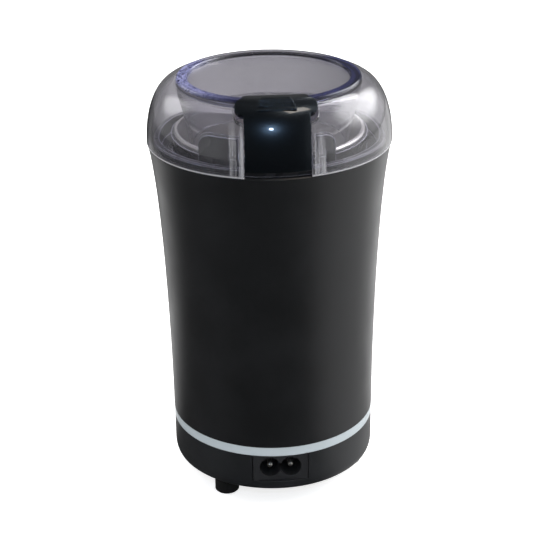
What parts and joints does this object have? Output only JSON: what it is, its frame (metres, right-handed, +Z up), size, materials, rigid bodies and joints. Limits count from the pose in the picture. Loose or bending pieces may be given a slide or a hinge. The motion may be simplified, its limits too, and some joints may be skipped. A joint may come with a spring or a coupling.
{
  "type": "electric spice grinder",
  "caption": "Electric spice grinder: flared black housing with motor, steel bowl and blade, clear domed lid with a push button that starts it, and a two-pin mains inlet.",
  "frame": {"origin": "centre of the plane that the three feet stand on", "axes": "+Z up along the motor shaft; the front, with the mains inlet and the button, faces -Y; +X to the right seen from the front"},
  "size_m": [0.0996, 0.0995, 0.1781],
  "materials": {
    "housing_abs": "satin black moulded ABS",
    "ring_plastic": "pale blue-grey satin plastic",
    "foot_rubber": "matt black rubber",
    "screw_steel": "zinc-plated steel",
    "inlet_plastic": "black moulded nylon",
    "contact_metal": "nickel-plated brass",
    "holder_abs": "black moulded ABS",
    "bowl_steel": "spun stainless steel",
    "gasket_silicone": "grey silicone",
    "seal_rubber": "black rubber",
    "blade_steel": "ground stainless steel",
    "hub_plastic": "dark grey nylon",
    "shaft_steel": "ground steel",
    "lamination_steel": "stacked steel sheet",
    "copper_winding": "enamelled copper wire",
    "commutator_copper": "turned copper bars",
    "fan_plastic": "dark grey nylon",
    "bracket_metal": "die-cast metal",
    "bush_bronze": "sintered bronze",
    "holder_brass": "stamped brass",
    "brush_carbon": "pressed carbon",
    "grommet_rubber": "black rubber",
    "switch_plastic": "black moulded nylon",
    "lever_steel": "spring steel strip",
    "rod_acetal": "natural acetal",
    "spring_steel": "spring steel wire",
    "capacitor_case": "yellow moulded case",
    "wire_brown": "brown PVC insulation",
    "wire_blue": "blue PVC insulation",
    "wire_grey": "pale grey PVC insulation",
    "lid_clear": "clear, faintly smoky moulded plastic",
    "button_gloss": "gloss black moulded ABS"
  },
  "bodies": {
    "housing": {"outer_housing": "housing_abs", "accent_ring": "ring_plastic", "base_cover": "housing_abs", "rubber_feet": "foot_rubber", "base_screws": "screw_steel", "inlet_housing": "inlet_plastic", "inlet_pins": "contact_metal", "bowl_holder": "holder_abs", "bowl": "bowl_steel", "bowl_gasket": "gasket_silicone", "shaft_seal": "seal_rubber", "stator_core": "lamination_steel", "field_coils": "copper_winding", "upper_bracket": "bracket_metal", "lower_bracket": "bracket_metal", "upper_bearing": "bush_bronze", "lower_bearing": "bush_bronze", "brush_holders": "holder_brass", "carbon_brushes": "brush_carbon", "motor_bolts": "screw_steel", "motor_screws": "screw_steel", "motor_grommets": "grommet_rubber", "switch_body": "switch_plastic", "switch_terminals": "holder_brass", "switch_screws": "screw_steel", "rod_spring": "spring_steel", "capacitor": "capacitor_case", "live_wire": "wire_brown", "neutral_wire": "wire_blue", "motor_wire": "wire_grey"},
    "rotor": {"blade": "blade_steel", "blade_hub": "hub_plastic", "blade_nut": "screw_steel", "motor_shaft": "shaft_steel", "armature_core": "lamination_steel", "armature_windings": "copper_winding", "commutator": "commutator_copper", "cooling_fan": "fan_plastic"},
    "lever": {"switch_lever": "lever_steel"},
    "rod": {"push_rod": "rod_acetal"},
    "lid": {"lid": "lid_clear", "button_springs": "spring_steel"},
    "button": {"push_button": "button_gloss"}
  },
  "joints": [
    {"name": "rotor_spin", "type": "hinge", "parent": "housing", "child": "rotor", "pos_m": [0, 0, 0.07], "axis": [0, 0, 1], "continuous": true},
    {"name": "lid_lift", "type": "slide", "parent": "housing", "child": "lid", "axis": [0, 0, 1], "range_m": [0, 0.06]},
    {"name": "button_press", "type": "slide", "parent": "lid", "child": "button", "axis": [0, 0, -1], "range_m": [0, 0.002], "stiffness_N_per_m": 500, "springref_m": -0.003, "deforming": ["button_springs"]},
    {"name": "rod_slide", "type": "slide", "parent": "housing", "child": "rod", "axis": [0, 0, -1], "range_m": [0, 0.002], "stiffness_N_per_m": 300, "springref_m": -0.003, "deforming": ["rod_spring"]},
    {"name": "lever_tilt", "type": "hinge", "parent": "housing", "child": "lever", "pos_m": [-0.008, -0.0364, 0.1014], "axis": [0, 1, 0], "range_deg": [0, 18]}
  ],
  "couplings": [
    {"joint": "rod_slide", "follows": "button_press", "ratio": 1},
    {"joint": "lever_tilt", "follows": "button_press", "rad_per_m": 155}
  ]
}
